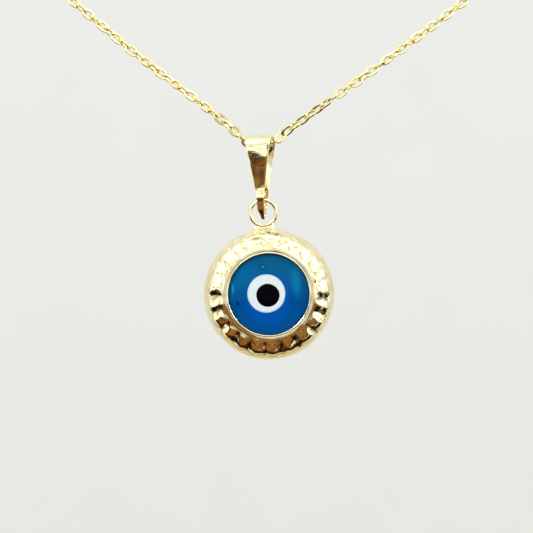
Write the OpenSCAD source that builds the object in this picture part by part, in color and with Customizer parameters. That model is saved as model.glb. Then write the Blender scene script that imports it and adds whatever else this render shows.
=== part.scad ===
// Evil eye pendant: a hollow gold case round a blue glass eye, on a folded strap bail and a cable chain.
// X runs across the front, Y to the back and Z up. The origin is the middle of the clasp, at the nape.

/* [Eye] */
// Diameter of the glass disc
glass_d = 8.3; // [7.6:0.1:8.8]
// Height of the glass disc's straight side
glass_side = 2; // [1.6:0.1:2.2]
// Rise of the glass's domed front over its side
glass_front = 0.35; // [0.15:0.05:0.5]
// Rise of the glass's domed back over its side
glass_back = 0.6; // [0.3:0.05:0.65]
// Outer diameter of the white ring
white_d = 3.82; // [3:0.1:5]
// Diameter of the black pupil
pupil_d = 2.29; // [1.5:0.1:2.6]
// How deep the white and the black are set into the glass
inlay_depth = 0.6; // [0.3:0.1:1]
// How far the white ring lies to the right of the glass's middle
white_right = -0.23; // [-0.4:0.01:0.4]
// How far the white ring lies above the glass's middle
white_up = 0.11; // [-0.4:0.01:0.4]
// How far the pupil lies to the right of the glass's middle
pupil_right = -0.09; // [-0.4:0.01:0.4]
// How far the pupil lies above the glass's middle
pupil_up = -0.08; // [-0.4:0.01:0.4]

/* [Case] */
// Widest diameter, over the back shell's rim
case_d = 13.06; // [12.8:0.1:15]
// Depth of the back shell below the rim's widest line
back_depth = 1.9; // [1.8:0.1:2.6]
// Thickness of the gold wall
wall = 0.25; // [0.2:0.05:0.35]
// Height of the rim's rounding over its widest line
rim_h = 1.08; // [1:0.02:1.14]
// How far the rim's rounding goes in over that height
rim_in = 0.43; // [0.36:0.01:0.5]
// Diameter of the fluted front plate over its lobes
plate_d = 12.2; // [11.8:0.1:12.4]
// Height of the plate's groove beside the lip over the rim's widest line
front_h = 1.9; // [1.85:0.05:2.1]
// Drop of the plate from its bead ring to its outer edge
plate_drop = 0.8; // [0.6:0.05:0.9]
// How far the bezel lip reaches in over the glass
lip_over = 0.1; // [0.1:0.05:0.3]
// Width of the bezel lip's top
lip_w = 0.14; // [0.1:0.02:0.24]
// Height of the bezel lip over the groove
lip_rise = 0.1; // [0.05:0.05:0.2]
// Width of the groove between lip and bead ring
groove_w = 0.12; // [0.1:0.02:0.24]
// Width of the raised bead ring
bead_w = 0.44; // [0.3:0.02:0.5]
// Rise of the bead ring over the groove
bead_rise = 0.24; // [0.1:0.02:0.3]
// Number of lobes in the fluted plate
lobe_count = 21; // [16:1:26]
// Rise of a lobe's crest over the cusps beside it
lobe_rise = 0.26; // [0.2:0.02:0.36]
// How far a lobe's end stands out past the cusps beside it
lobe_out = 0.26; // [0.1:0.02:0.3]

/* [Jump ring] */
// Outer diameter of the jump ring
ring_d = 3; // [2.6:0.1:4]
// Wire thickness of the jump ring
ring_wire = 0.41; // [0.3:0.01:0.5]
// Width of the solder foot on the case
foot_w = 2.6; // [2.3:0.1:2.8]
// Width of the solder foot where it meets the ring
neck_w = 2; // [1.8:0.05:2.1]
// Thickness of the solder foot from front to back
foot_t = 0.5; // [0.4:0.05:0.6]
// Gap between the rim and the ring that the solder fills
foot_h = 0.13; // [0.1:0.01:0.3]

/* [Bail] */
// Distance from the fold's middle to the eye's middle
bail_len = 5.46; // [4.5:0.1:7]
// Thickness of the strap
strap_t = 0.22; // [0.18:0.02:0.26]
// Width of the strap at the fold
fold_w = 2.84; // [2:0.1:3]
// Width of the strap at its waist
waist_w = 1.12; // [0.9:0.02:1.3]
// Width of the strap at the eye
eye_w = 0.88; // [0.7:0.02:1]
// Distance from the eye's middle up to the waist
waist_up = 0.95; // [0.8:0.05:1.3]
// Length of the front leaf's tip below the eye's middle
tip_len = 2.05; // [1.6:0.05:2.2]
// Length of the back leaf's tip below the eye's middle
back_tip_len = 1.5; // [1.2:0.05:1.6]
// Width of the leaves' ends
tip_w = 0.34; // [0.2:0.02:0.5]

/* [Chain] */
// Thickness of the chain
chain_d = 0.8; // [0.6:0.1:1]
// Width of the loop
loop_w = 116; // [104:1:128]
// Depth of the loop from the clasp to the front
loop_depth = 105; // [95:1:115]
// Drop of the loop from the clasp to the bail
drop = 87; // [78:1:96]

/* [Clasp] */
// Outer diameter of the clasp ring
clasp_d = 5.6; // [5:0.1:7]
// Wire thickness of the clasp ring
clasp_wire = 0.9; // [0.7:0.1:1.2]
// Outer diameter of the eyelets that take the chain's ends
eyelet_d = 1.8; // [1.6:0.1:2.2]
// Wire thickness of the eyelets
eyelet_wire = 0.42; // [0.4:0.02:0.5]

/* [Hang] */
// Turn of the bail to the wearer's right, in degrees
bail_yaw = 13; // [0:1:15]
// Lean of the bail to the side, in degrees
bail_lean = 1.5; // [-3:0.5:3]
// Turn of the case to the wearer's right, in degrees
case_yaw = 1; // [0:1:8]
// Lean of the case to the side, in degrees
case_lean = 4; // [-5:0.5:5]

/* [Clearances] */
// Running room between the chain and the inside of the fold
chain_room = 0.4; // [0.35:0.01:0.6]
// Gap between the chain and the top of the fold
chain_gap = 0.12; // [0.05:0.01:0.2]
// Running room between the ring's wire and the inside of the bail's eye
ring_room = 0.235; // [0.2:0.005:0.28]
// Gap between the ring's wire and the bottom of the bail's eye
ring_gap = 0.2; // [0.18:0.005:0.24]
// Gap round the glass and its inlays
glass_gap = 0.03; // [0.02:0.01:0.05]
// Gap between the chain's ends and the clasp's eyelets
end_gap = 0.05; // [0.02:0.01:0.1]

/* [Hidden] */
$fn = 64;

gold = "#e2cf8f";
chain_gold = "#e3c65a";
glass_blue = "#0a5c96";

front_point = [0, -loop_depth, -drop];

// Route of one side of the loop, from the nape to the bail, as shares of half the loop's width, of its depth,
// and of its drop on the left and on the right
strand = [
    [0.276, 0.017, 0.003, 0.003], [0.491, 0.067, 0.023, 0.023], [0.69, 0.15, 0.059, 0.059],
    [0.836, 0.243, 0.106, 0.106], [0.931, 0.338, 0.161, 0.161], [0.983, 0.438, 0.224, 0.224],
    [1, 0.543, 0.291, 0.293], [0.983, 0.648, 0.362, 0.368], [0.94, 0.743, 0.433, 0.443],
    [0.862, 0.829, 0.508, 0.523], [0.759, 0.9, 0.584, 0.603], [0.638, 0.952, 0.661, 0.682],
    [0.5, 0.986, 0.74, 0.76], [0.362, 0.998, 0.817, 0.832], [0.207, 1, 0.903, 0.91]
];
// Route from there into the bail, as shares of half the fold's width, of the fold's skew, and of the chain's
// thickness above the front point on the left and on the right
entry = [[2.82, 0.3, 2.5, 2.25], [1.59, 0.94, 0.5, 0.5], [1.01, 0.94, 0, 0]];
mouth = fold_w / 2 * cos(bail_yaw);
skew = fold_w / 2 * sin(bail_yaw);
function half_loop(side) = concat(
    [for (s = strand) [side * s[0] * loop_w / 2, -s[1] * loop_depth, -s[side < 0 ? 2 : 3] * drop]],
    [for (s = entry) front_point + [side * s[0] * mouth, -side * s[1] * skew, s[side < 0 ? 2 : 3] * chain_d]]
);
function backwards(list) = [for (i = [len(list) - 1:-1:0]) list[i]];
ring_step = 6.5;
chain_sides = 8;
loop_middle = front_point * 0.48;

eyelet_x = clasp_d / 2 + eyelet_d / 2 - eyelet_wire / 2;
end_x = eyelet_x + eyelet_d / 2 + end_gap;
route = concat([[-end_x, 0, 0]], half_loop(-1), [front_point], backwards(half_loop(1)), [[end_x, 0, 0]]);

case_r = case_d / 2;
window_r = glass_d / 2 - lip_over;
seat_r = glass_d / 2 + glass_gap;
under_lip = front_h - wall * 0.85;
ring_r = (ring_d - ring_wire) / 2;
ring_up = case_r + foot_h + ring_d / 2;
back_r = case_r - wall;

fold_r = chain_d / 2 + chain_room;
fold_drop = fold_r - chain_d / 2 - chain_gap;
eye_r = ring_wire / 2 + ring_room;
pivot_drop = eye_r - ring_wire / 2 - ring_gap;

// Turns local X right, Y up and Z front into the world's axes, with the yaw and lean given
module faced(yaw, lean) {
    rotate([0, 0, -yaw]) rotate([0, -lean, 0]) rotate([90, 0, 0]) children();
}

// The same turn for a point, from the local axes of faced() to the world's
function faced_point(p, yaw, lean) =
    let (x = p[0] * cos(lean) - p[1] * sin(lean), z = p[0] * sin(lean) + p[1] * cos(lean), y = -p[2])
    [x * cos(yaw) + y * sin(yaw), y * cos(yaw) - x * sin(yaw), z];

bail_at = front_point - faced_point([0, fold_drop, 0], bail_yaw, bail_lean);
pivot = bail_at - faced_point([0, bail_len + pivot_drop, 0], bail_yaw, bail_lean);
case_at = pivot - faced_point([0, ring_up + ring_r, 0], case_yaw, case_lean);

// Lobes of the front plate. Cusps go clockwise from the right, each with its own small shift in degrees
first_cusp = -7.5;
cusp_shift = [0, 0.5, 0, -3, -5, -5, -5, -4.5, -5, -5, -4, -3.5, -3, -3, -2, -2, -2, -1, -1, -1, 0];
lobe_steps = 6;
function cusp(i) =
    first_cusp - 360 * i / lobe_count + (i < lobe_count ? cusp_shift[i % len(cusp_shift)] : cusp_shift[0]);

// Shares of the plate's width, of its drop and of a lobe's rise, from the bead ring to the plate's edge
plate_shares = [[0, 0, 0], [0.15, 0.1, 0.6], [0.35, 0.31, 1], [0.72, 0.68, 1], [0.9, 0.88, 0.85], [1, 1, 0.4]];
// The wall's inner side under the plate, as shares of the plate's width and of its drop
under_shares = [[0, 0], [0.35, 0.31], [0.7, 0.66], [1, 1]];

rim_arc = 2 * atan(rim_in / rim_h);
rim_curve = rim_h / sin(rim_arc);
plate_in_r = window_r + lip_w + groove_w + bead_w;
plate_r = plate_d / 2;
bead_r = plate_in_r - bead_w / 2;

// Section through the case as radius and height, from the middle of the back, out round the rim, in over
// the front to the window and back along the inside. rise is 0 on a cusp and 1 on a lobe's crest
function section(rise) =
    let (edge_r = plate_r - lobe_out * (1 - rise))
    concat(
        [for (a = [75:-15:15]) [case_r * cos(a), -back_depth * sin(a)]],
        [for (k = [0:3]) let (a = rim_arc * k / 3) [case_r - rim_curve * (1 - cos(a)), rim_curve * sin(a)]],
        [for (i = [len(plate_shares) - 1:-1:0])
            let (s = plate_shares[i])
            [plate_in_r + (edge_r - plate_in_r) * s[0], front_h - plate_drop * s[1] + lobe_rise * s[2] * rise]],
        [for (a = [45:45:135]) [bead_r + bead_w / 2 * cos(a), front_h + bead_rise * sin(a)]],
        [[bead_r - bead_w / 2, front_h], [window_r + lip_w, front_h],
         [window_r + lip_w * 0.8, front_h + lip_rise], [window_r, front_h + lip_rise],
         [window_r, under_lip], [seat_r, under_lip]],
        [for (s = under_shares)
            [plate_in_r + (plate_r - lobe_out - plate_in_r) * s[0], front_h - wall * 1.3 - plate_drop * s[1]]],
        [[back_r - rim_in * 0.25, rim_h * 0.5], [back_r, 0]],
        [for (a = [20:18:74]) [back_r * cos(a), -(back_depth - wall) * sin(a)]]
    );

module case_shell() {
    rows = len(section(0));
    columns = lobe_count * lobe_steps;
    points = concat(
        [for (c = [0:columns - 1])
            let (i = floor(c / lobe_steps), share = (c % lobe_steps) / lobe_steps,
                angle = cusp(i) + (cusp(i + 1) - cusp(i)) * share, line = section(pow(sin(180 * share), 0.8)))
            for (p = line) [p[0] * cos(angle), p[0] * sin(angle), p[1]]],
        [[0, 0, -back_depth], [0, 0, wall - back_depth]]
    );
    outer_pole = columns * rows;
    inner_pole = outer_pole + 1;
    faces = [for (c = [0:columns - 1])
        let (a = c * rows, b = ((c + 1) % columns) * rows)
        each concat(
            [[outer_pole, b, a], [inner_pole, a + rows - 1, b + rows - 1]],
            [for (r = [0:rows - 2]) each [[a + r, b + r + 1, a + r + 1], [a + r, b + r, b + r + 1]]]
        )];
    polyhedron(points = points, faces = faces);
}

// Solder foot: a flared web between the rim and the ring
module foot() {
    low = case_r * 0.975;
    high = case_r + foot_h + ring_wire;
    linear_extrude(height = foot_t, center = true)
        polygon([[-foot_w / 2, low], [foot_w / 2, low], [foot_w * 0.44, case_r], [neck_w / 2, high],
            [-neck_w / 2, high], [-foot_w * 0.44, case_r]]);
}

module jump_ring() {
    translate([0, ring_up, 0]) rotate_extrude() translate([ring_r, 0]) circle(d = ring_wire);
}

module case() {
    color(gold) translate(case_at) faced(case_yaw, case_lean) {
        case_shell();
        foot();
        jump_ring();
    }
}

// Radius of the sphere whose cap of width d rises by h
function cap_radius(d, h) = (d * d / 4 + h * h) / (2 * h);

front_sphere = cap_radius(glass_d, glass_front);
back_sphere = cap_radius(glass_d, glass_back);
// The dome rises this much between the glass's side and the window's edge, and stays clear of the lip
rise_at_window = glass_front - (front_sphere - sqrt(pow(front_sphere, 2) - pow(window_r, 2)));
glass_top = under_lip - glass_gap - rise_at_window;

module front_dome() {
    translate([0, 0, glass_top + glass_front - front_sphere]) sphere(r = front_sphere, $fn = 240);
}

module back_dome() {
    translate([0, 0, glass_top - glass_side - glass_back + back_sphere]) sphere(r = back_sphere, $fn = 240);
}

// A straight plug of the inlays' depth, measured down from the top of the dome
module inlay(d, right, up, depth) {
    translate([right, up, glass_top + glass_front - depth]) cylinder(d = d, h = depth + 1);
}

module in_case() {
    translate(case_at) faced(case_yaw, case_lean) children();
}

module eye_glass() {
    color(glass_blue) in_case() difference() {
        intersection() {
            translate([0, 0, glass_top - glass_side - glass_back])
                cylinder(d = glass_d, h = glass_side + glass_front + glass_back);
            front_dome();
            back_dome();
        }
        inlay(white_d + 2 * glass_gap, white_right, white_up, inlay_depth + glass_gap);
    }
}

module eye_white() {
    color("white") in_case() difference() {
        intersection() {
            inlay(white_d, white_right, white_up, inlay_depth);
            front_dome();
        }
        inlay(pupil_d + 2 * glass_gap, pupil_right, pupil_up, inlay_depth / 2 + glass_gap);
    }
}

module eye_pupil() {
    color("black") in_case() intersection() {
        inlay(pupil_d, pupil_right, pupil_up, inlay_depth / 2);
        front_dome();
    }
}

// Side of the bail, Y up from the fold's middle and X to the front, grown by the strap's thickness or not
module bail_side(grow) {
    waist_y = waist_up - bail_len;
    circle(r = fold_r + grow);
    translate([0, -bail_len]) circle(r = eye_r + grow);
    polygon([[fold_r + grow, 0], [-fold_r - grow, 0],
        [-eye_r - grow * 0.9, waist_y], [-eye_r * 0.9 - grow, -bail_len],
        [eye_r * 0.9 + grow, -bail_len], [eye_r + grow * 0.9, waist_y]]);
}

module bail_tips() {
    top = -bail_len - eye_r;
    front_end = -bail_len - tip_len;
    back_end = -bail_len - back_tip_len;
    slit = strap_t * 0.12;
    polygon([[-strap_t, top - strap_t * 0.5], [strap_t, top - strap_t * 0.5], [strap_t * 1.4, top - strap_t],
        [strap_t * 1.1, front_end], [slit, front_end], [slit, top - strap_t * 2], [-slit, top - strap_t * 2],
        [-slit, back_end], [-strap_t * 0.9, back_end], [-strap_t * 1.4, top - strap_t]]);
}

// Front of the bail, half of it, as width over height
module bail_front() {
    top = fold_r + strap_t + 0.1;
    half = [[fold_w / 2, top], [waist_w / 2, waist_up - bail_len], [eye_w / 2, 0.4 * waist_up - bail_len],
        [eye_w / 2, -bail_len - eye_r * 0.4], [tip_w, -bail_len - back_tip_len * 0.55],
        [tip_w / 2, -bail_len - tip_len - 0.1]];
    polygon(concat(half, [for (p = backwards(half)) [-p[0], p[1]]]));
}

module bail() {
    reach = fold_r + strap_t + 0.2;
    color(gold) translate(bail_at) faced(bail_yaw, bail_lean) intersection() {
        rotate([0, -90, 0]) union() {
            linear_extrude(height = fold_w + 1, center = true) difference() {
                bail_side(strap_t);
                bail_side(0);
            }
            linear_extrude(height = fold_w + 1, center = true) bail_tips();
        }
        linear_extrude(height = 2 * reach, center = true) bail_front();
    }
}

function unit(v) = v / norm(v);

// A smooth curve through the route: a cubic on each span, its slope at a point weighted by the spans beside it
spans = len(route) - 1;
span = [for (i = [0:spans - 1]) norm(route[i + 1] - route[i])];
lead = [for (i = [0:spans - 1]) (route[i + 1] - route[i]) / span[i]];
slope = [for (i = [0:spans])
    i == 0 ? lead[0] : i == spans ? lead[spans - 1]
    : (lead[i - 1] * span[i] + lead[i] * span[i - 1]) / (span[i] + span[i - 1])];
function on_route(i, u) =
    (2 * pow(u, 3) - 3 * pow(u, 2) + 1) * route[i] + (pow(u, 3) - 2 * u * u + u) * span[i] * slope[i]
    + (3 * u * u - 2 * pow(u, 3)) * route[i + 1] + (pow(u, 3) - u * u) * span[i] * slope[i + 1];
line = concat(
    [for (i = [0:spans - 1]) let (n = max(1, round(span[i] / ring_step))) for (k = [0:n - 1]) on_route(i, k / n)],
    [route[spans]]
);

module chain() {
    last = len(line) - 1;
    points = [for (i = [0:last])
        let (along = unit(line[min(i + 1, last)] - line[max(i - 1, 0)]),
            side = unit(cross(along, line[i] - loop_middle)), up = cross(side, along))
        for (k = [0:chain_sides - 1])
            line[i] + chain_d / 2 * (side * cos(360 * k / chain_sides) + up * sin(360 * k / chain_sides))];
    faces = concat(
        [[for (k = [chain_sides - 1:-1:0]) k], [for (k = [0:chain_sides - 1]) last * chain_sides + k]],
        [for (i = [0:last - 1]) for (k = [0:chain_sides - 1])
            let (a = i * chain_sides, b = a + chain_sides, n = (k + 1) % chain_sides)
            each [[a + k, b + n, b + k], [a + k, a + n, b + n]]]
    );
    color(chain_gold) polyhedron(points = points, faces = faces);
}

module hoop(d, wire) {
    rotate([90, 0, 0]) rotate_extrude() translate([(d - wire) / 2, 0]) circle(d = wire);
}

module clasp() {
    color(chain_gold) {
        hoop(clasp_d, clasp_wire);
        for (side = [-1, 1]) translate([side * eyelet_x, 0, 0]) hoop(eyelet_d, eyelet_wire);
    }
}

case();
eye_glass();
eye_white();
eye_pupil();
bail();
chain();
clasp();
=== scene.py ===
import bpy
import numpy as np
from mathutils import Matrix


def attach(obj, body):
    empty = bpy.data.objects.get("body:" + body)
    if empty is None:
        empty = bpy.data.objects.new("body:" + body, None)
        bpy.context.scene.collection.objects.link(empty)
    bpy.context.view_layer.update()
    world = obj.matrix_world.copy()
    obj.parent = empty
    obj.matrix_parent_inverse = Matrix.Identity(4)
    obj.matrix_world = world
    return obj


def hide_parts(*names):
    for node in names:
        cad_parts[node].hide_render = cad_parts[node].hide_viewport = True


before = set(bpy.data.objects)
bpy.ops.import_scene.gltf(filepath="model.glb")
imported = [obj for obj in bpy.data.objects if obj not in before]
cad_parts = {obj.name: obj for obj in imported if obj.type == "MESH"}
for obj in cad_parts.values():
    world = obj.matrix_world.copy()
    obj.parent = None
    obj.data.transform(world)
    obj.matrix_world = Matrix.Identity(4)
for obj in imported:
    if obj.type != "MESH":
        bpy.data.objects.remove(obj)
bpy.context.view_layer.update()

# The studio. A long lens looks level at the pendant from 420 mm, 0.1 mm to a pixel. Polished gold shows
# nothing but what stands round it, so the surroundings carry the look: a white tent above and behind, and
# a dark brown room in front and below, which the lower flutes and the front of the bail mirror.
camera_distance, picture_width, film_width = 0.42, 0.0533, 36
aim_x, aim_y, aim_z = 0.00055, -0.105, -0.09942
scene = bpy.context.scene
scene.view_settings.view_transform = "Standard"
long_lens = bpy.data.cameras.new("camera")
long_lens.sensor_width = film_width
long_lens.lens = film_width * camera_distance / picture_width
long_lens.clip_start, long_lens.clip_end = 0.01, 10
camera = bpy.data.objects.new("camera", long_lens)
camera.location = (aim_x, aim_y - camera_distance, aim_z)
camera.rotation_euler = (np.pi / 2, 0, 0)
scene.collection.objects.link(camera)
scene.camera = camera


def linear(hex_colour):
    """sRGB hex turned to linear light: v/12.92 in the dark end, ((v + 0.055)/1.055)^2.4 above it."""
    v = np.array([int(hex_colour[i:i + 2], 16) for i in (1, 3, 5)]) / 255
    v = np.where(v <= 0.04045, v / 12.92, ((v + 0.055) / 1.055) ** 2.4)
    return (*v.tolist(), 1.0)


def add(tree, kind, inputs=(), output=0, stops=(), **settings):
    """Adds one shader node with its settings and gives the output called for. Its inputs stand in the order
    of the sockets, or by name or number. An output among them is linked, any other value is set. The stops
    of a colour ramp are pairs (place, sRGB hex)."""
    made = tree.nodes.new("ShaderNode" + kind)
    for name, value in settings.items():
        setattr(made, name, value)
    for name, value in (inputs if isinstance(inputs, dict) else dict(enumerate(inputs))).items():
        if isinstance(value, bpy.types.NodeSocket):
            tree.links.new(value, made.inputs[name])
        else:
            made.inputs[name].default_value = value
    if stops:
        marks = made.color_ramp.elements
        while len(marks) < len(stops):
            marks.new(0.5)
        for mark, (place, colour) in zip(marks, stops):
            mark.position, mark.color = place, linear(colour)
    return made.outputs[output] if len(made.outputs) else None


def layered(tree, tone, layers):
    """Lays colours over a tone, one after another. The share of each goes smoothly, as 3t2 - 2t3, from first
    to last while its measure goes from low to high, and stays there beyond."""
    for measure, low, high, first, last, colour in layers:
        share = add(tree, "MapRange", (measure, low, high, first, last), interpolation_type="SMOOTHSTEP")
        tone = add(tree, "Mix", {0: share, 6: tone, 7: linear(colour)}, output=2, data_type="RGBA")
    return tone


world = bpy.data.worlds.new("light_tent")
scene.world = world
world.use_nodes = True
air = world.node_tree
air.nodes.clear()
towards = add(air, "TexCoord", output="Generated")
right, away, up = add(air, "SeparateXYZ", (towards,)).node.outputs

# How deep in the room a direction lies. The room's top edge wavers and sinks to both sides, and its near edge
# comes forward on the left.
patches = add(air, "TexNoise", {"Vector": towards, "Scale": 5.0, "Detail": 3.0, "Roughness": 0.6})
aside = add(air, "Math", (add(air, "Math", (right, 0.08), operation="ADD"),), operation="ABSOLUTE")
waver = add(air, "MapRange", (patches, 0.3, 0.7, -0.06, 0.06))
top_edge = add(air, "MapRange", (aside, 0.45, 0.9, -0.03, -0.33), interpolation_type="SMOOTHSTEP")
below = add(air, "Math", (add(air, "Math", (top_edge, up), operation="SUBTRACT"), waver), operation="SUBTRACT")
near_edge = add(air, "MapRange", (right, -0.3, -0.6, 0.05, -0.14), interpolation_type="SMOOTHSTEP")
before = add(air, "Math", (near_edge, away), operation="SUBTRACT")
into_room = add(air, "Math", (below, before), operation="MINIMUM")

# The room itself: wood browns in blotches, darker at the floor, at the sides, far back and along its edge,
# and lighter round the lens
blotches = add(air, "TexNoise", {"Vector": towards, "Scale": 6.5, "Detail": 2.5, "Roughness": 0.55})
browns = add(air, "ValToRGB", (blotches,), stops=((0.33, "#221a0e"), (0.39, "#5a3a22"), (0.45, "#8e5932"),
                                                  (0.58, "#ac7446"), (0.68, "#74613a")))
browns = layered(air, browns, ((up, -0.9, -0.97, 0.0, 0.8, "#1d190c"),
                               (aside, 0.54, 0.7, 0.0, 0.88, "#241f0e"),
                               (away, -0.46, -0.28, 0.0, 0.85, "#241f0f"),
                               (into_room, 0.1, 0.16, 1.0, 0.0, "#19150b"),
                               (away, -0.86, -0.94, 0.0, 0.68, "#a07a48")))

# The tent: white cloth in soft streaks, warmer behind and cream low down. It is brightest towards the lens,
# but half as bright right round it, and a little dimmer straight overhead and below 30 degrees.
streaks = add(air, "TexNoise", {"Vector": towards, "Scale": 3.4, "Detail": 1.0, "Roughness": 0.5})
tent = add(air, "ValToRGB", (streaks,), stops=((0.36, "#b4b295"), (0.44, "#e6e7dc"), (0.52, "#f8faff")))
tent = layered(air, tent, ((away, -0.45, 0.0, 0.0, 0.65, "#fffcf2"), (up, -0.45, -0.85, 0.0, 1.0, "#f2e3b8")))
lens_gap = add(air, "VectorMath", (towards, (-0.05, -0.99, -0.12)), output="Value", operation="DISTANCE")
brightness = 1.0
for measure, low, high, first, last in ((away, 0.1, -0.35, 1.03, 1.8), (lens_gap, 0.17, 0.3, 0.5, 1.0),
                                        (up, 0.965, 0.99, 1.0, 0.7), (up, 0.5, 0.3, 1.0, 0.85)):
    share = add(air, "MapRange", (measure, low, high, first, last), interpolation_type="SMOOTHSTEP")
    brightness = add(air, "Math", (brightness, share), operation="MULTIPLY")
tent = add(air, "VectorMath", {0: tent, "Scale": brightness}, operation="SCALE")

# Four small white cards in the room light the lower flutes. Each is a direction and a size.
cards = 0.0
for direction, size in (((0.68, -0.5, -0.53), 0.12), ((0.45, -0.5, -0.74), 0.08), ((0.2, -0.5, -0.84), 0.05),
                        ((-0.83, -0.48, -0.28), 0.07)):
    gap = add(air, "VectorMath", (towards, direction), output="Value", operation="DISTANCE")
    glow = add(air, "MapRange", (gap, size * 1.25, size * 0.7), interpolation_type="SMOOTHSTEP")
    cards = add(air, "Math", (cards, glow), operation="MAXIMUM")
in_room = add(air, "MapRange", (into_room, 0.0, 0.035), interpolation_type="SMOOTHSTEP")
mirrored = add(air, "Mix", {0: in_room, 6: tent, 7: browns}, output=2, data_type="RGBA")
mirrored = add(air, "Mix", {0: cards, 6: mirrored, 7: (1.15, 1.1, 0.95, 1)}, output=2, data_type="RGBA")
in_mirror = add(air, "Background", {"Color": mirrored, "Strength": 1.0})

# The lens itself sees a plain pale grey with a faint grain, and matt surfaces are lit by an even pale sky
grain = add(air, "TexNoise", {"Vector": towards, "Scale": 70.0, "Detail": 2.0})
speckle = add(air, "Math", (add(air, "Math", (grain, 0.5), operation="SUBTRACT"), 0.06), operation="MULTIPLY")
level = add(air, "MapRange", (add(air, "Math", (up, speckle), operation="ADD"), -0.08, 0.08))
pale_grey = add(air, "ValToRGB", (level,), stops=((0.0, "#e6e7e2"), (1.0, "#eeefea")))
in_view = add(air, "Background", {"Color": pale_grey, "Strength": 1.0})
on_matt = add(air, "Background", {"Color": linear("#f4f3ee"), "Strength": 0.62})
ray = add(air, "LightPath").node.outputs
sky = add(air, "MixShader", (ray["Is Glossy Ray"], on_matt, in_mirror))
sky = add(air, "MixShader", (ray["Is Camera Ray"], sky, in_view))
add(air, "OutputWorld", {"Surface": sky})

# Two square softboxes face the pendant (mm). A lamp's back axis is the unit vector from the pendant to it.
softbox_aim, softbox_size = np.array([0, -105, -95]), 120
for name, place, watts in (("softbox_left", (-260, -330, 120), 0.8), ("softbox_right", (300, -260, 60), 0.5)):
    light = bpy.data.lights.new(name, "AREA")
    light.size, light.energy = softbox_size / 1000, watts
    back = (place - softbox_aim) / np.linalg.norm(place - softbox_aim)
    side = np.cross((0, 0, 1), back)
    side /= np.linalg.norm(side)
    turn = np.eye(4)
    turn[:3] = np.stack([side, np.cross(back, side), back, np.array(place) / 1000], 1)
    stand = bpy.data.objects.new(name, light)
    stand.matrix_world = turn.T.tolist()
    scene.collection.objects.link(stand)


# The chain: a fine cable chain of drawn and diamond-cut yellow gold wire, 0.3 mm thick. Oval links, 1.56 mm
# long and 1.05 mm wide, hang in one another, each turned a quarter from the last, all round the real loop
# from eyelet to eyelet of the clasp.
loop_w, loop_depth, drop, clasp_end = 116, 105, 87, 4.44
chain_d, sag_in_fold = 0.8, 0.08
fold_w, bail_yaw, bail_lean = 2.84, 13, 1.5
front_point = np.array([0, -loop_depth, -drop])
# The strand in shares of the loop's half width, of its depth, and of its drop on the left and on the right
strand = np.array([
    [0.276, 0.017, 0.003, 0.003], [0.491, 0.067, 0.023, 0.023], [0.69, 0.15, 0.059, 0.059],
    [0.836, 0.243, 0.106, 0.106], [0.931, 0.338, 0.161, 0.161], [0.983, 0.438, 0.224, 0.224],
    [1, 0.543, 0.291, 0.293], [0.983, 0.648, 0.362, 0.368], [0.94, 0.743, 0.433, 0.443],
    [0.862, 0.829, 0.508, 0.523], [0.759, 0.9, 0.584, 0.603], [0.638, 0.952, 0.661, 0.682],
    [0.5, 0.986, 0.74, 0.76], [0.362, 0.998, 0.817, 0.832], [0.207, 1, 0.903, 0.91]])
# The way into the bail, in half widths of its fold sideways and back, and in chain widths up, left and right
entry = np.array([[2.82, 0.3, 2.75, 2.6], [1.59, 0.94, 0.92, 1.0], [1.01, 0.94, 0, 0.02]])
mouth = fold_w / 2 * np.cos(np.radians(bail_yaw))
skew = fold_w / 2 * np.sin(np.radians(bail_yaw))


def half_loop(side):
    """One side of the chain's route in mm, from the nape to the bail: shares times the loop's own sizes."""
    rise = 2 if side < 0 else 3
    down = strand[:, [0, 1, rise]] * (side * loop_w / 2, -loop_depth, -drop)
    inward = front_point + entry[:, [0, 1, rise]] * (side * mouth, -side * skew, chain_d)
    return np.vstack([down, inward])


def smooth(points, steps):
    """Cubic Hermite through points: on each span of length h, p(u) = (2u3-3u2+1) p0 + (u3-2u2+u) h m0
    + (3u2-2u3) p1 + (u3-u2) h m1, its slopes m the spans' own, each weighted by the other's length."""
    points = np.asarray(points, float)
    h = np.linalg.norm(np.diff(points, axis=0), axis=1)[:, None]
    lead = np.diff(points, axis=0) / h
    m = np.vstack([lead[:1], (lead[:-1] * h[1:] + lead[1:] * h[:-1]) / (h[1:] + h[:-1]), lead[-1:]])
    u = (np.arange(steps) / steps)[None, :, None]
    spans = ((2 * u**3 - 3 * u**2 + 1) * points[:-1, None] + (u**3 - 2 * u**2 + u) * (h * m[:-1])[:, None]
             + (3 * u**2 - 2 * u**3) * points[1:, None] + (u**3 - u**2) * (h * m[1:])[:, None])
    return np.vstack([spans.reshape(-1, points.shape[1]), points[-1:]])


def unit(vectors):
    """Each vector divided by its own length."""
    return vectors / np.linalg.norm(vectors, axis=-1, keepdims=True)


route = smooth(np.vstack([[-clasp_end, 0, 0], half_loop(-1), front_point - [0, 0, sag_in_fold],
                          half_loop(1)[::-1], [clasp_end, 0, 0]]), 60)
way = np.concatenate([[0], np.cumsum(np.linalg.norm(np.diff(route, axis=0), axis=1))])
pitch, link_long, link_wide, wire = 0.94, 1.56, 1.05, 0.3

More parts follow.
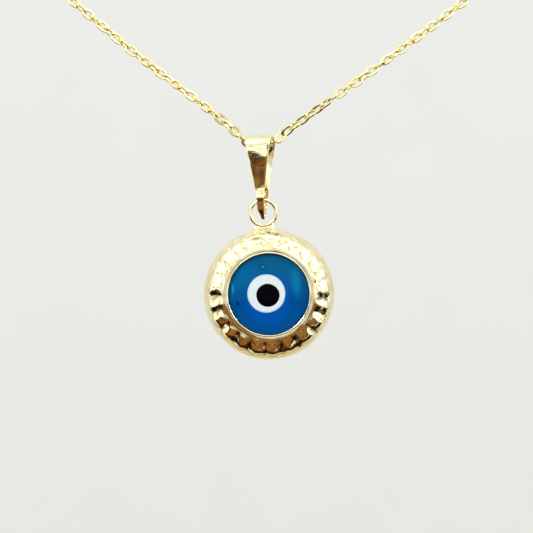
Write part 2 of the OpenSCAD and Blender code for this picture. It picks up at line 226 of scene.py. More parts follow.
# Links sit at even steps of the way. The last on the left before the bail is edge on and the first on its
# right faces the front, as in the photograph, with four more drawn together inside the fold.
beside_bail, in_fold = 1.95, 4
in_front = route[:, 1] < -loop_depth * 0.8
last_left = way[in_front][np.argmin(abs(route[in_front, 0] + beside_bail))]
first_right = way[in_front][np.argmin(abs(route[in_front, 0] - beside_bail))]
left_count = 2 * round(last_left / pitch / 2)
right_count = 2 * round((way[-1] - first_right) / pitch / 2 - 0.5) + 1
stations = np.concatenate([np.linspace(0, last_left, left_count + 1),
                           np.linspace(last_left, first_right, in_fold + 2)[1:-1],
                           np.linspace(first_right, way[-1], right_count + 1)])
number = np.arange(len(stations))
at = np.stack([np.interp(stations, way, route[:, k]) for k in range(3)], 1)
along = unit(np.stack([np.interp(stations + pitch / 2, way, route[:, k])
                       - np.interp(stations - pitch / 2, way, route[:, k]) for k in range(3)], 1))
front_axis = np.array([0, -1, 0])
to_front = unit(front_axis - along * (along @ front_axis)[:, None])
downward = np.cross(along, to_front)

# Each link is a quarter turn from its neighbours, give or take 8 degrees. In front the strands twist too, by
# up to 54 degrees just right of the bail, where the links lie more evenly than elsewhere.
chance = np.random.default_rng(5)
in_sight = at[:, 1] < -90
twist = -np.interp(at[:, 0], [-30, -20, -10, -3, -2, 1.9, 2.5, 6.4, 7.2, 30],
                   [0.5, 0.45, 0.4, 0.4, 0.1, 0.1, 0.95, 0.93, 0.25, 0.4])
unrest = np.where((at[:, 0] > 1.9) & (at[:, 0] < 7) & in_sight, 0.3, 1)
quarter = np.where(number % 2 == 0, np.pi / 2, 0)
roll = quarter + unrest * chance.normal(0, 0.14, len(number)) + twist * in_sight
roll[[0, -1]] = np.pi / 2
faces_out = np.cos(roll)[:, None] * to_front + np.sin(roll)[:, None] * downward
crosswise = np.cross(faces_out, along)


def power(wave, exponent):
    """A sine or cosine w raised with its sign kept: sign(w) |w|^exponent. It squares a circle up."""
    return np.sign(wave) * np.abs(wave) ** exponent


def link_shape(turns, sides):
    """One oval link in its own axes (along, across, out): a superellipse x = a cos |cos|^-0.1,
    y = b sin |sin|^-0.15 carries a wire cut flat on its four sides, which with 8 sides is an octagon with
    corners at (0.56, 0.76) and (0.87, 0.49) of its radius."""
    t = np.linspace(0, 2 * np.pi, turns, endpoint=False)[:, None]
    s = np.linspace(0, 2 * np.pi, sides, endpoint=False)[None] + np.pi / sides
    corners = np.arctan2(power(np.sin(s), 0.5), power(np.cos(s), 0.5))
    a, b = (link_long - wire) / 2, (link_wide - wire) / 2
    outward = unit(np.stack([np.cos(t) / a, np.sin(t) / b], -1))
    across = wire / 2 * 1.04 * np.cos(corners)
    out = wire / 2 * 0.9 * np.sin(corners)
    return np.stack([a * power(np.cos(t), 0.9) + outward[..., 0] * across,
                     b * power(np.sin(t), 0.85) + outward[..., 1] * across, out + 0 * t], -1)


def link_run(name, which, turns, sides, material):
    """The links picked out by which, as one mesh: place = centre + x along + y across + z out. Its facets stay
    crisp at every edge sharper than 38 degrees."""
    shape = link_shape(turns, sides).reshape(-1, 3)
    frames = np.stack([along[which], crosswise[which], faces_out[which]], 1)
    place = at[which][:, None] + np.einsum("pk,nkc->npc", shape, frames)
    grid = np.arange(turns * sides).reshape(turns, sides)
    ahead = np.roll(grid, -1, 0)
    faces = np.stack([grid, ahead, np.roll(ahead, -1, 1), np.roll(grid, -1, 1)], -1).reshape(-1, 4)
    corner = shape[faces]
    if np.einsum("ij,ij->i", corner[:, 0], np.cross(corner[:, 1], corner[:, 2])).sum() < 0:
        faces = faces[:, ::-1]
    all_faces = (faces[None] + (np.arange(which.sum()) * turns * sides)[:, None, None]).reshape(-1, 4)
    mesh = bpy.data.meshes.new(name)
    mesh.from_pydata((place.reshape(-1, 3) / 1000).tolist(), [], all_faces.tolist())
    mesh.shade_smooth()
    mesh.set_sharp_from_angle(angle=np.radians(38))
    piece = bpy.data.objects.new(name, mesh)
    scene.collection.objects.link(piece)
    mesh.materials.append(material)
    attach(piece, "chain")
    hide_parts("chain")


def gold(name, colour, shade, roughness, grain_mm, dents_mm, depth_mm, shade_paint=None):
    """Gold. Patches of grain_mm vary its colour from shade to colour, and its roughness from 1.4 to 0.7 times
    the value given. Shallow dents, dents_mm long and depth_mm deep, ripple what it mirrors. Where the attribute
    shade_paint[0] rises to 1, the colour goes over to shade_paint[1], a dark painted shade."""
    made = bpy.data.materials.new(name)
    made.use_nodes = True
    tree = made.node_tree
    shader = tree.nodes["Principled BSDF"]
    shader.inputs["Metallic"].default_value = 1.0
    place = add(tree, "TexCoord", output="Object")
    patch = add(tree, "TexNoise", {"Vector": place, "Scale": 1000 / grain_mm, "Detail": 3.0})
    tone = add(tree, "ValToRGB", (patch,), stops=((0.35, shade), (0.6, colour)))
    if shade_paint:
        mark = add(tree, "Attribute", output="Fac", attribute_name=shade_paint[0])
        tone = add(tree, "Mix", {0: mark, 6: tone, 7: linear(shade_paint[1])}, output=2, data_type="RGBA")
    dull = add(tree, "MapRange", (patch, 0.3, 0.7, roughness * 1.4, roughness * 0.7))
    dents = add(tree, "TexNoise", {"Vector": place, "Scale": 1000 / dents_mm, "Detail": 0.5})
    bump = add(tree, "Bump", {"Height": dents, "Strength": 1.0, "Distance": depth_mm / 1000})
    for socket, value in (("Base Color", tone), ("Roughness", dull), ("Normal", bump)):
        tree.links.new(value, shader.inputs[socket])
    return made


# Yellow gold wire, drawn, cut and tumbled: the richest yellow of the piece, its flats mirror a little softly
chain_gold = gold("yellow_gold_wire", "#f6efbc", "#ecdf96", 0.13, grain_mm=0.35, dents_mm=0.4, depth_mm=0.002)
near = (abs(at[:, 0]) < 30) & (at[:, 1] < -100)
link_run("chain_front_links", near, 24, 8, chain_gold)
link_run("chain_back_links", ~near, 14, 5, chain_gold)

# The clasp: a plain cast ring with an eyelet each side, polished like the chain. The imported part's own shape
# is right, so it keeps it.
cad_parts["clasp"].data.materials.clear()
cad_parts["clasp"].data.materials.append(chain_gold)


# The bail: one strap of pale gold sheet, 0.2 mm thick, rolled over the chain. Its two tapered leaves close to
# a waist, open round the jump ring's wire and are pinched together below it, where the tips stand in the ring.
def faced(points, yaw, lean, at_point):
    """Local X right, Y up, Z front (mm) into the world's axes: a lean about the front, a yaw about the plumb
    line, then the move to at_point."""
    cos_lean, sin_lean = np.cos(np.radians(lean)), np.sin(np.radians(lean))
    cos_yaw, sin_yaw = np.cos(np.radians(yaw)), np.sin(np.radians(yaw))
    x = points[..., 0] * cos_lean - points[..., 1] * sin_lean
    y = -points[..., 2]
    z = points[..., 0] * sin_lean + points[..., 1] * cos_lean
    return np.stack([x * cos_yaw + y * sin_yaw, y * cos_yaw - x * sin_yaw, z], -1) + at_point


def skin(name, rings, closed=False, body=None, material=None, replaces=(), marks=None):
    """A closed surface through rings of points in mm, shape (rings, points, 3). Each ring closes on itself.
    The last ring joins the first, or a fan to its middle closes each end. Turned to face outwards by the
    sign of its volume, the sum over faces of a . (b x c + c x d) / 6. Marks are values at the same points."""
    rings = np.asarray(rings, float)
    count, points = rings.shape[:2]
    place = rings.reshape(-1, 3)
    index = np.arange(count * points).reshape(count, points)
    here, there = (index, np.roll(index, -1, 0)) if closed else (index[:-1], index[1:])
    faces = np.stack([here, there, np.roll(there, -1, 1), np.roll(here, -1, 1)], -1).reshape(-1, 4)
    a, b, c, d = (place - place.mean(0))[faces.T]
    volume = (a * (np.cross(b, c) + np.cross(c, d))).sum() / 6
    fans = np.empty((0, 3), int)
    if not closed:
        place = np.vstack([place, rings[0].mean(0), rings[-1].mean(0)])
        first, last = index[0], index[-1]
        low, high = np.full(points, count * points), np.full(points, count * points + 1)
        fans = np.vstack([np.stack([low, first, np.roll(first, -1)], -1),
                          np.stack([high, np.roll(last, -1), last], -1)])
    if volume < 0:
        faces, fans = faces[:, ::-1], fans[:, ::-1]
    mesh = bpy.data.meshes.new(name)
    mesh.from_pydata((place / 1000).tolist(), [], faces.tolist() + fans.tolist())
    mesh.shade_smooth()
    for mark, values in (marks or {}).items():
        values = np.asarray(values, float).reshape(count, points, -1)
        fan_middles = [] if closed else [values[[0, -1]].mean(1)]
        values = np.vstack([values.reshape(count * points, -1), *fan_middles])
        kind, field = ("FLOAT_VECTOR", "vector") if values.shape[1] == 3 else ("FLOAT", "value")
        mesh.attributes.new(mark, kind, "POINT").data.foreach_set(field, values.ravel())
    piece = bpy.data.objects.new(name, mesh)
    scene.collection.objects.link(piece)
    mesh.materials.append(material)
    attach(piece, body)
    if replaces:
        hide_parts(*replaces)


fold_drop, fold_radius, bail_len, strap_t = 0.28, 0.91, 5.46, 0.2
bail_at = front_point - faced(np.array([0, fold_drop, 0]), bail_yaw, bail_lean, 0)
# Side of the strap as depth to the front and height over the fold's middle, from the front tip to the back one
leaf = np.array([[0.1, -7.44], [0.19, -6.95], [0.28, -6.5], [0.37, -6.15], [0.45, -5.93], [0.555, -5.6],
                 [0.58, -5.43], [0.64, -5.32], [0.6, -4.95], [0.545, -4.4], [0.565, -4.1], [0.66, -3.1],
                 [0.79, -1.9], [0.878, -1.0], [0.906, -0.68], [0.914, -0.45], [0.905, -0.1], [0.9, 0]])
bend = np.radians([30, 60, 90, 120, 150])
arch = fold_radius * np.stack([np.cos(bend), np.sin(bend)], 1)
back_leaf = np.array([[-0.91, 0], [-0.85, -0.9], [-0.72, -2.2], [-0.585, -3.6], [-0.53, -4.5], [-0.585, -5.1],
                      [-0.6, -5.45], [-0.52, -5.78], [-0.33, -5.95], [-0.17, -6.15], [-0.135, -6.6],
                      [-0.15, -6.93]])
# Height, and the strap's left and right edge at that height, on the front leaf and on the back leaf
front_edges = np.array([[-7.44, -0.12, 0.25], [-6.9, -0.29, 0.26], [-6.5, -0.48, 0.27], [-6.0, -0.5, 0.28],
                        [-5.75, -0.46, 0.3], [-5.5, -0.46, 0.31], [-5.25, -0.5, 0.33], [-4.45, -0.625, 0.38],
                        [-3.46, -0.765, 0.56], [-2.13, -1.02, 0.72], [-0.66, -1.27, 0.97], [0.1, -1.41, 1.11],
                        [0.6, -1.46, 1.16], [0.91, -1.6, 1.2]])
back_edges = np.array([[-6.93, -0.05, 0.3], [-6.45, -0.3, 0.36], [-6.0, -0.42, 0.4], [-5.3, -0.47, 0.44],
                       [-4.3, -0.42, 0.62], [-3.3, -0.62, 0.71], [-2.2, -0.8, 0.92], [-1.49, -0.98, 1.03],
                       [0.1, -1.38, 1.26], [0.91, -1.62, 1.2]])
# Along the strap's side: depth, height, way run and the direction out of the sheet, each as a column
side_line = smooth(np.vstack([leaf, arch, back_leaf]), 12)
depth, height = side_line.T[..., None]
run = np.concatenate([[0], np.cumsum(np.linalg.norm(np.diff(side_line, axis=0), axis=1))])[:, None]
step = np.gradient(side_line, axis=0)
out_depth, out_height = unit(np.stack([step[:, 1], -step[:, 0]], 1)).T[..., None]
over_fold = np.where(height > -3, np.clip((0.3 - depth) / 0.6, 0, 1), depth < 0)


def edge(column):
    """The edge's place at each row of the strap, front + (back - front) times the share gone over the fold."""
    on_front = np.interp(height, front_edges[:, 0], front_edges[:, column])
    on_back = np.interp(height, back_edges[:, 0], back_edges[:, column])
    return on_front + (on_back - on_front) * over_fold


# The strap's section: an outer and an inner face of 17 points, and a half round edge of 5 points each side
half, middle, half_t = (edge(2) - edge(1)) / 2, (edge(2) + edge(1)) / 2, strap_t / 2
across = np.concatenate([np.linspace(-1, 1, 17), np.ones(5), np.linspace(1, -1, 17), -np.ones(5)])
turn = np.radians(np.concatenate([np.full(17, 90), [60, 30, 0, -30, -60],
                                  np.full(17, -90), [-120, -150, 180, 150, 120]]))
x = middle + (half - half_t) * across + half_t * np.cos(turn) * (np.abs(across) == 1)
off_middle = x - middle

# Hand work in the sheet: a slight crown, and seven low waves 1.1 to 2.4 mm long in all directions
pick = np.random.default_rng(8)
ripple = -0.02 * off_middle**2
for heading, phase, length in zip(pick.uniform(0, 2 * np.pi, 7), pick.uniform(0, 2 * np.pi, 7),
                                  pick.uniform(1.1, 2.4, 7)):
    swing = 2 * np.pi / length * (x * np.cos(heading) + run * np.sin(heading)) + phase
    ripple = ripple + 0.0034 * length * np.sin(swing)
ripple = ripple * np.clip((height + 5.9) / 0.5, 0, 1)
# The front leaf bends along slanting lines at the waist and below the fold, and the back leaf is twisted a
# little halfway down
slant = (np.interp(height, [-4.9, -4.1, -3.2], [0, 0.4, 0]) * off_middle
         + np.interp(height, [-2.2, -1.3, -0.6, 0.15], [0, -0.27, -0.27, 0]) * (off_middle + 0.9))
leaf_depth, leaf_height = leaf[np.argsort(leaf[:, 1])].T
askew = np.interp(height - slant, leaf_height, leaf_depth) - np.interp(height, leaf_height, leaf_depth)
twisted = -0.36 * np.clip(1 - abs(height + 2.4) / 2.4, 0, 1) * off_middle * (depth < 0)
lift = half_t * np.sin(turn) + ripple
rows = np.stack([x, height + out_height * lift, depth + twisted + askew * (depth > 0) + out_depth * lift], -1)
# Painted shade: a narrow dark band across the front leaf where it is pinched below the fold
pinch_shade = np.clip(1 - abs(height + 5.44) / 0.1, 0, 1) * (depth > 0) + 0 * x
# Pale gold sheet, rolled and polished: nearly white where it mirrors the tent, with dark shade painted into the
# pinched bend
strap_gold = gold("pale_gold_strap", "#f5edca", "#ede2b0", 0.1, grain_mm=0.6, dents_mm=0.9, depth_mm=0.003,
                  shade_paint=("painted_shade", "#2a1f10"))
skin("bail_strap", faced(rows, bail_yaw, bail_lean, bail_at), body="bail", material=strap_gold,
     replaces=["bail"], marks={"painted_shade": pinch_shade})


# The jump ring: a ring of round gold wire, closed and soldered to the rim with a flared foot of solder. It
# hangs in the bail's eye and carries the case, which leans 4 degrees and is turned 1 degree.
case_yaw, case_lean = 1, 4
case_r, foot_h, ring_d, ring_wire, pivot_drop = 6.53, 0.13, 3, 0.41, 0.035
ring_r = (ring_d - ring_wire) / 2
ring_up = case_r + foot_h + ring_d / 2
pivot = bail_at - faced(np.array([0, bail_len + pivot_drop, 0]), bail_yaw, bail_lean, 0)
case_at = pivot - faced(np.array([0, ring_up + ring_r, 0]), case_yaw, case_lean, 0)


def in_case(points):
    """Points in the case's own axes (mm from its middle) turned and moved to where the case hangs."""
    return faced(points, case_yaw, case_lean, case_at)


# Drawn wire, polished: as pale as the strap and a clearer mirror
wire_gold = gold("pale_gold_wire", "#f5edca", "#ede2b0", 0.07, grain_mm=0.6, dents_mm=0.9, depth_mm=0.003)
round_ring = np.linspace(0, 2 * np.pi, 96, endpoint=False)[:, None]
round_wire = np.linspace(0, 2 * np.pi, 20, endpoint=False)[None]
wire_r = ring_wire / 2 * (1 + 0.04 * np.sin(2 * round_ring + 1))
from_middle = ring_r + wire_r * np.cos(round_wire)
ring = np.stack([from_middle * np.cos(round_ring), ring_up + from_middle * np.sin(round_ring),
                 wire_r * np.sin(round_wire)], -1)
skin("jump_ring", in_case(ring), closed=True, body="pendant", material=wire_gold)
# Solder, filed but not polished: paler than the wire, and its mirror is blurred. foot_w and foot_t are half
# the foot's width and half its thickness at each height over the case's middle.
gold_solder = gold("gold_solder", "#f6f0d6", "#efe6bd", 0.34, grain_mm=0.6, dents_mm=0.5, depth_mm=0.003)
rise = np.linspace(6.1, 6.9, 22)[:, None]
foot_w = np.interp(rise, [6.1, 6.35, 6.55, 6.7, 6.82, 6.9], [1.9, 1.52, 1.24, 1.1, 1.02, 0.9])
foot_t = np.interp(rise, [6.1, 6.25, 6.4, 6.55, 6.7, 6.9], [0.6, 0.7, 0.66, 0.42, 0.18, 0.12])
foot = np.stack([foot_w * power(np.cos(round_wire), 0.8), rise + 0 * round_wire,
                 foot_t * np.sin(round_wire)], -1)
skin("solder_foot", in_case(foot), body="pendant", material=gold_solder)


# The case: two stamped shells of thin pale gold, hollow and soldered at the rim. The front plate falls away
# from a raised bead in 21 rounded flutes, no two alike, and a thin bright lip is rubbed over the glass.
lobe_count, lobe_rise, lobe_out = 21, 0.26, 0.26
front_h, back_depth, wall = 1.9, 1.9, 0.25
glass_d, glass_gap, lip_over, lip_w, groove_w, bead_w = 8.3, 0.03, 0.1, 0.14, 0.12, 0.44
plate_d, bead_outer, lip_outer = 12.2, 4.62, 4.12
window_r = glass_d / 2 - lip_over
plate_in_r = window_r + lip_w + groove_w + bead_w
under_lip = front_h - wall * 0.85
# Valleys between the flutes: even steps clockwise from -7.5 degrees, each shifted by a listed amount. Each
# flute swells by its own amount and its crest lies off its middle.
cusp_shift = np.array([0, 0.5, 0, -3, -5, -5, -5, -4.5, -5, -5, -4, -3.5, -3, -3, -2, -2, -2, -1, -1, -1, 0])
cusps = np.append(-7.5 - 360 / lobe_count * np.arange(lobe_count) + cusp_shift, -367.5)
fine = 26
share = np.tile(np.arange(fine) / fine, lobe_count)
which_lobe = np.repeat(np.arange(lobe_count), fine)
theta = np.radians(cusps[which_lobe] + (cusps[which_lobe + 1] - cusps[which_lobe]) * share)[None]
uneven = np.random.default_rng(11)
swell = uneven.normal(1, 0.12, lobe_count)[which_lobe][None]
lopsided = uneven.normal(0, 0.6, lobe_count)[which_lobe]
skewed = np.clip(share + 0.12 * np.sin(2 * np.pi * share) * lopsided, 0, 1)[None]
arc = np.sin(np.pi * skewed)
# The lower flutes are crisp, those at the sides lower, and the upper ones are rubbed low and soft by wear
side_up = np.sin(theta + np.radians(case_lean))
rubbed = np.clip((side_up + 0.55) / 0.5, 0, 1)
lowered = 1 - 0.35 * np.exp(-((side_up + 0.15) / 0.28) ** 2)
crest = arc**0.75 * (1 - rubbed) * lowered + 0.66 * arc**1.1 * rubbed


def hammered(r, theta, size, seed):
    """Low waves over the plate: the mean of six sine waves sin(2 pi p / length + phase), p the way run in a
    random direction, and each length 0.7 to 1.4 times the size (mm)."""
    pick = np.random.default_rng(seed)
    x, y = r * np.cos(theta), r * np.sin(theta)
    total = 0
    for heading, phase, stretch in zip(pick.uniform(0, 2 * np.pi, 6), pick.uniform(0, 2 * np.pi, 6),
                                       pick.uniform(0.7, 1.4, 6)):
        wave_number = 2 * np.pi / (size * stretch)
        total = total + np.sin(wave_number * (x * np.cos(heading) + y * np.sin(heading)) + phase)
    return total / 6


# Radius and height of the front without its flutes: the lip's top, the bead, then the fall to the rim
profile = smooth(np.array([[4.12, 1.985], [4.18, 1.98], [4.22, 1.965], [4.28, 1.968], [4.4, 1.97],
                           [4.55, 1.965], [4.65, 1.95], [4.8, 1.91], [5.1, 1.78], [5.5, 1.56], [5.9, 1.3],
                           [6.1, 1.12], [6.28, 0.9], [6.42, 0.62], [6.5, 0.3], [6.53, 0]]), 10)


def over(r):
    """Height of the case's front at radius r, by interpolation along its profile."""
    return np.interp(r, profile[:, 0], profile[:, 1])


# The shell is one run of rings: from the middle of the back round the rim, up the flutes, over the bead and
# the lip, and back inside. Each band holds its rings' radii and heights, and how much of the hammering shows.
ones = np.ones_like(theta)
phi = np.radians(np.linspace(89, 3, 24))[:, None]
back_band = (case_r * np.cos(phi) * ones, -back_depth * np.sin(phi) * ones, np.full(24, 0.08))
flute_end = 6.12 + 0.13 * (1 - rubbed) - 0.3 * (1 - arc**0.7)
rim_share = 1 - np.linspace(0, 1, 16)[:, None] ** 1.6
rim_r = flute_end + (case_r - flute_end) * rim_share
rim_band = (rim_r, over(rim_r), np.linspace(0.3, 0.8, 16))
# Along a flute t goes from 1 at its outer end to 0 at the bead. It rises quickly and tails off inwards, has
# no height beside the solder foot, and at the lower left its inner end and the bead have sagged.
t = np.linspace(1, 0, 36)[1:, None]
puff = np.interp(t, [0, 0.12, 0.3, 0.5, 0.65, 0.86, 0.93, 0.975, 1],
                 [0, 0.12, 0.5, 0.86, 1, 0.97, 0.74, 0.32, 0])
flute_r = bead_outer + (flute_end - bead_outer) * t
near_foot = sum(np.exp(-((theta - top) / 0.33) ** 4) for top in (np.pi / 2, -1.5 * np.pi))
near_foot = near_foot * np.clip((flute_r - 5.1) / 0.5, 0, 1)
sagged = np.exp(-((np.degrees(theta) % 360 - 226) / 24) ** 2)
flute_h = (over(flute_r) - 0.055 * sagged * np.clip(1 - t / 0.25, 0, 1)
           + lobe_rise * swell * puff * crest * (1 - near_foot))
flute_band = (flute_r, flute_h, np.ones(len(t)))
bead_r = np.linspace(4.6, lip_outer, 22)[:, None] * ones
bead_band = (bead_r, over(bead_r) - 0.13 * (bead_r - 4.2).clip(0) * sagged, np.linspace(0.5, 0.25, 22))
lip_line = np.array([[4.08, 1.97], [4.055, 1.93], [window_r, 1.86], [window_r, under_lip]])
lip_band = (lip_line[:, :1] * ones, lip_line[:, 1:] * ones, np.full(len(lip_line), 0.2))
dome_turn = np.radians([12, 25, 38, 50, 62, 75, 86])
inner_line = np.vstack([[[glass_d / 2 + glass_gap, under_lip], [plate_in_r, front_h - wall * 1.4],
                         [5.1, front_h - 0.5], [5.6, front_h - 0.85], [plate_d / 2 - lobe_out - 0.1, 0.6],
                         [case_r - wall, 0]],
                        np.stack([(case_r - wall) * np.cos(dome_turn),
                                  -(back_depth - wall) * np.sin(dome_turn)], 1)])
inner_band = (inner_line[:, :1] * ones, inner_line[:, 1:] * ones, np.zeros(len(inner_line)))
bands = (back_band, rim_band, flute_band, bead_band, lip_band, inner_band)
radius, front, shown = (np.concatenate([band[k] for band in bands]) for k in range(3))

# Hammering, in mm: 0.035 up and down, 0.02 in and out everywhere but on the open flutes and 0.014 along the
# lip, all but gone beside the solder foot. Two small dints lie left and right of it.
beside_foot = (np.exp(-((radius * np.cos(theta)) / 2.1) ** 4)
               * np.clip((radius * np.sin(theta) - 5.2) / 0.4, 0, 1))
shown = shown[:, None] * (1 - 0.92 * beside_foot)
front = front + shown * 0.035 * hammered(radius, theta, 1.3, 3)
radius = radius + shown * 0.02 * hammered(radius, theta, 1.1, 7) * (shown < 1)
radius = radius + 0.014 * hammered(radius, theta, 0.9, 9) * (abs(radius - lip_outer) < 0.09)
case_x, case_y = radius * np.cos(theta), radius * np.sin(theta)
for dint_x, dint_y, size, deep in ((-0.89, 5.62, 0.2, 0.02), (1.16, 5.87, 0.2, 0.03)):
    dint = np.exp(-((case_x - dint_x) ** 2 + (case_y - dint_y) ** 2) / size**2)
    front = front - deep * dint * (shown > 0.25)

# Painted shade, from 0 to 1 and in patches: dark in the valleys of the lower flutes and at the outer ends of
# these flutes, where shade falls, and on the lower flank of each flute at the sides as a painted dark
# reflection
patchy = np.clip(0.85 + 1.6 * hammered(flute_r, theta, 0.7, 12), 0, 1)
valley = np.clip(1.2 - np.minimum(skewed, 1 - skewed) / 0.11, 0, 1) * np.clip((0.25 - side_up) / 0.4, 0, 1)
valley = valley * patchy * np.clip((t - 0.04) / 0.08, 0, 1)
ends = np.clip((t - 0.925) / 0.04, 0, 1) * np.clip((1.01 - t) / 0.03, 0, 1) * (1 - rubbed) * patchy
from_below = np.where(np.cos(theta) < 0, skewed, 1 - skewed)
flank = np.clip((0.44 - from_below) / 0.16, 0, 1) * np.exp(-((side_up + 0.15) / 0.32) ** 4)
flank = flank * np.clip((t - 0.03) / 0.12, 0, 1)
flank = flank * np.clip(0.95 + 1.3 * hammered(flute_r, theta, 0.6, 14), 0, 1) * 0.96
painted_shade = np.zeros_like(front)
first_flute = len(back_band[0]) + len(rim_band[0])
painted_shade[first_flute:first_flute + len(t)] = np.maximum(np.maximum(valley, 0.9 * ends), flank)
# Three painted shades beside the foot, in its two dints and where it meets the case: a place, a half width and
# height, and a strength
for shade_x, shade_y, wide, high, strength in ((-0.89, 5.62, 0.26, 0.14, 0.55), (1.16, 5.87, 0.24, 0.13, 0.75),
                                               (-0.1, 6.12, 0.1, 0.12, 0.5)):
    dint_shade = strength * np.exp(-((case_x - shade_x) / wide) ** 2 - ((case_y - shade_y) / high) ** 2)
    painted_shade = np.maximum(painted_shade, dint_shade * (front > 0))
# Stamped pale gold, polished after soldering: a clear mirror on every crest, with dark olive shade painted into
# the creases
stamped_gold = gold("stamped_gold_shell", "#f5edca", "#ede2b0", 0.08, grain_mm=0.6, dents_mm=1.1,
                    depth_mm=0.003, shade_paint=("painted_shade", "#3d391b"))
shell = np.stack([case_x, case_y, front], -1)
skin("case_shell", in_case(shell), body="pendant", material=stamped_gold, replaces=["case"],
     marks={"painted_shade": painted_shade})


# The eye: a lens of cobalt blue glass, fire-polished, held under the case's lip, with an opaque white disc and
# a black dot fused into its front. A bubble, a speck and soft streaks lie in the glass, as in any lamp-worked
# eye.
white_at, white_r, pupil_at, pupil_r = np.array([-0.23, 0.11]), 1.91, np.array([-0.09, -0.08]), 1.145
glass_side, glass_front, glass_back = 2.0, 0.35, 0.6
glass_r = glass_d / 2
sphere_r = (glass_r**2 + glass_front**2) / (2 * glass_front)
back_sphere_r = (glass_r**2 + glass_back**2) / (2 * glass_back)
at_window = glass_front - (sphere_r - np.sqrt(sphere_r**2 - window_r**2))
glass_top = under_lip - glass_gap - at_window
angle = np.linspace(0, 2 * np.pi, 144, endpoint=False)[None]


def dome(x, y):
    """Front of the lens over its middle plane: a sphere's cap, z = top + rise - R + sqrt(R^2 - x^2 - y^2)."""
    return glass_top + glass_front - sphere_r + np.sqrt(np.maximum(sphere_r**2 - x**2 - y**2, 0))


def wobble(amount, seed):
    """A hand-made circle: 1 + amount times three low harmonics of the angle."""
    phases = np.random.default_rng(seed).uniform(0, 2 * np.pi, 3)
    return 1 + amount * (np.sin(2 * angle + phases[0]) + 0.6 * np.sin(3 * angle + phases[1])
                         + 0.4 * np.sin(5 * angle + phases[2]))


def circle(middle, radius, z=None, lift=0.0):
    """Rings of radius r (a column) round a middle point, on the dome plus lift, or at the given heights."""
    x = middle[..., :1] + radius * np.cos(angle)
    y = middle[..., 1:] + radius * np.sin(angle)
    z = dome(x, y) + lift if z is None else z
    return np.stack(np.broadcast_arrays(x, y, z), -1)


# The lens, from the middle of its back round its side and over its front to the hole for the white disc
origin = np.zeros(2)
back_r = np.linspace(0.02, 1, 12)[:, None] * glass_r
lens_back = circle(origin, back_r, z=glass_top - glass_side - glass_back + back_sphere_r
                   - np.sqrt(back_sphere_r**2 - back_r**2))
lens_side = circle(origin, np.full((3, 1), glass_r),
                   z=np.array([[0.2], [0.6], [1.0]]) * glass_side + glass_top - glass_side)
inwards = np.linspace(0, 1, 26)[:, None]
white_edge = wobble(0.005, 21)
hole_r = (white_r + 0.012) * white_edge
lens_front = circle(white_at * inwards, glass_r * (1 - inwards) * 0.998 + hole_r * inwards)
lens_hole = circle(white_at, hole_r, z=np.array([[glass_top - 0.1], [glass_top - 0.3]]))
lens_floor = circle(white_at, np.array([[0.6], [0.05]]) * hole_r, z=glass_top - 0.3)
glass_lens = np.concatenate([lens_back, lens_side, lens_front, lens_hole, lens_floor])
# The white disc stands in that hole, a trace proud of the glass, and has a shallow hole for the dot
inwards = np.linspace(0, 1, 14)[:, None]
pupil_hole = (pupil_r + 0.01) * wobble(0.008, 22)
white_floor = circle(white_at, np.array([[0.05], [0.6], [1.0]]) * white_r * white_edge, z=glass_top - 0.27)
white_front = circle(white_at * (1 - inwards) + pupil_at * inwards,
                     white_r * white_edge * (1 - inwards) + pupil_hole * inwards,
                     lift=0.006 + 0.01 * np.sin(np.pi * inwards))
white_hole = circle(pupil_at, pupil_hole * np.array([[1.0], [0.5], [0.04]]), z=glass_top + 0.02)
white_disc = np.concatenate([white_floor, white_front, white_hole])
dot_r = pupil_hole - 0.01
dot_floor = circle(pupil_at, np.array([[0.04], [0.6], [1.0]]) * dot_r, z=glass_top + 0.04)
dot_front = circle(pupil_at, dot_r * np.linspace(1, 0.03, 14)[:, None], lift=0.006)
black_dot = np.concatenate([dot_floor, dot_front])


def fused_glass(name, roughness):
    """Soda glass under a fire polish, as good as opaque, with such glass's IOR of 1.52. Its specular level is
    low, because the white tent would lay a haze over colours that are deep in the real glass. Gives the
    material, its tree and shader, and the eye's own axes in mm (attribute eye_place)."""
    made = bpy.data.materials.new(name)
    made.use_nodes = True
    tree = made.node_tree
    shader = tree.nodes["Principled BSDF"]
    for socket, value in (("IOR", 1.52), ("Specular IOR Level", 0.035), ("Roughness", roughness)):
        shader.inputs[socket].default_value = value
    return made, tree, shader, add(tree, "Attribute", output="Vector", attribute_name="eye_place")


def from_spot(tree, place, middle, size):
    """How far a place p lies from the middle of an ellipse, in its half sizes: |(p - middle) / size|."""
    gap = add(tree, "VectorMath", (place, (*middle, 0)), operation="SUBTRACT")
    flat = add(tree, "VectorMath", (gap, (1 / size[0], 1 / size[1], 0)), operation="MULTIPLY")
    return add(tree, "VectorMath", (flat,), output="Value", operation="LENGTH")
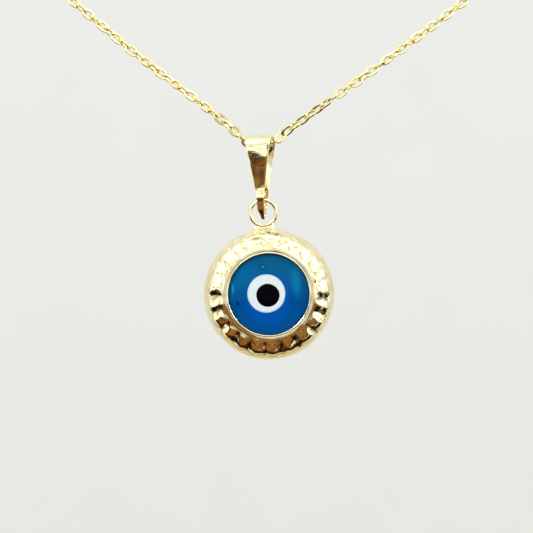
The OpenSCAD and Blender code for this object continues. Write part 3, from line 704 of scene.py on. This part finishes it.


# Cobalt glass: deep blue that leans to teal above, with a lighter patch up on the left. Painted light and shade
# lie over it: a deeper blue glow round and below the white disc, a lighter band on the right and a highlight
# along the left edge. The bubble at the top is painted in three tones: a shaded rim, a lit middle and a
# highlight. A dark speck on the left sits in a deeper blue halo, and the lip's shade is painted all round. Each
# spot is a place, half sizes (mm), where it starts to fade and ends, and a colour.
blue, tree, shader, place = fused_glass("cobalt_blue_glass", 0.04)
height_up = add(tree, "MapRange", (add(tree, "SeparateXYZ", (place,), output="Y"), -4.0, 4.0))
tone = add(tree, "ValToRGB", (height_up,), stops=((0.0, "#004e93"), (0.42, "#00498a"), (0.7, "#005a92"),
                                                  (1.0, "#00567e")))
for spot_at, size, fades, gone, colour in (
        ((-2.1, 1.9), (1.7, 1.5), 0.3, 1.2, "#006098"), ((-0.1, -1.2), (2.4, 2.2), 0.5, 1.15, "#0050ac"),
        ((-0.15, -0.1), (2.15, 2.2), 0.9, 1.15, "#004fa8"), ((2.8, 1.1), (0.55, 1.9), 0.2, 1.2, "#0070a2"),
        ((-3.53, 0.86), (0.13, 0.6), 0.2, 1.3, "#0096c0"), ((-0.36, 2.75), (0.33, 0.28), 0.85, 1.1, "#013a62"),
        ((-0.36, 2.75), (0.24, 0.19), 0.7, 1.05, "#0870a0"), ((-0.42, 2.8), (0.12, 0.06), 0.5, 1.1, "#1a96be"),
        ((-2.95, -0.72), (0.4, 0.5), 0.3, 1.1, "#0044a6"), ((-3.16, -0.7), (0.12, 0.22), 0.5, 1.2, "#00103c")):
    tone = layered(tree, tone, [(from_spot(tree, place, spot_at, size), fades, gone, 1.0, 0.0, colour)])
# The lip's shade, painted as a dark ring round the glass's edge
from_centre = from_spot(tree, place, (0, 0), (4.05, 4.05))
tone = layered(tree, tone, [(from_centre, 0.965, 1.0, 0.0, 1.0, "#02304c")])
tree.links.new(tone, shader.inputs["Base Color"])
skin("blue_glass", in_case(glass_lens), body="pendant", material=blue,
     replaces=["eye_glass"], marks={"eye_place": glass_lens})
# Opal glass: a cool milky white, bluer along its edge, where the cobalt glass has bled into it
milk, tree, shader, place = fused_glass("opaque_white_glass", 0.06)
from_centre = from_spot(tree, place, tuple(white_at), (1.935, 1.935))
tone = layered(tree, linear("#d8e5ea"), [(from_centre, 0.9, 1.0, 0.0, 1.0, "#a9bddc")])
tree.links.new(tone, shader.inputs["Base Color"])
skin("white_ring", in_case(white_disc), body="pendant", material=milk,
     replaces=["eye_white"], marks={"eye_place": white_disc})
# Jet glass: black with a trace of violet, a little less polished than the rest
jet, _, shader, _ = fused_glass("opaque_black_glass", 0.1)
shader.inputs["Base Color"].default_value = linear("#030207")
skin("black_pupil", in_case(black_dot), body="pendant", material=jet,
     replaces=["eye_pupil"], marks={"eye_place": black_dot})


# The floor: a large pale sheet of matt paper far below, out of the pendant's mirror. It glows a little, so
# that it keeps its tone so far from the lamps.
half_side, floor_z = 3, -0.4
sheet = bpy.data.meshes.new("studio_floor")
sheet.from_pydata([(x * half_side, y * half_side, floor_z) for x, y in ((-1, -1), (1, -1), (1, 1), (-1, 1))],
                  [], [(0, 1, 2, 3)])
floor = bpy.data.objects.new("studio_floor", sheet)
scene.collection.objects.link(floor)
paper = bpy.data.materials.new("pale_paper")
paper.use_nodes = True
for socket, value in (("Base Color", linear("#f1f1ec")), ("Roughness", 0.9),
                      ("Emission Color", linear("#f1f1ec")), ("Emission Strength", 0.32)):
    paper.node_tree.nodes["Principled BSDF"].inputs[socket].default_value = value
sheet.materials.append(paper)
floor.visible_glossy = False
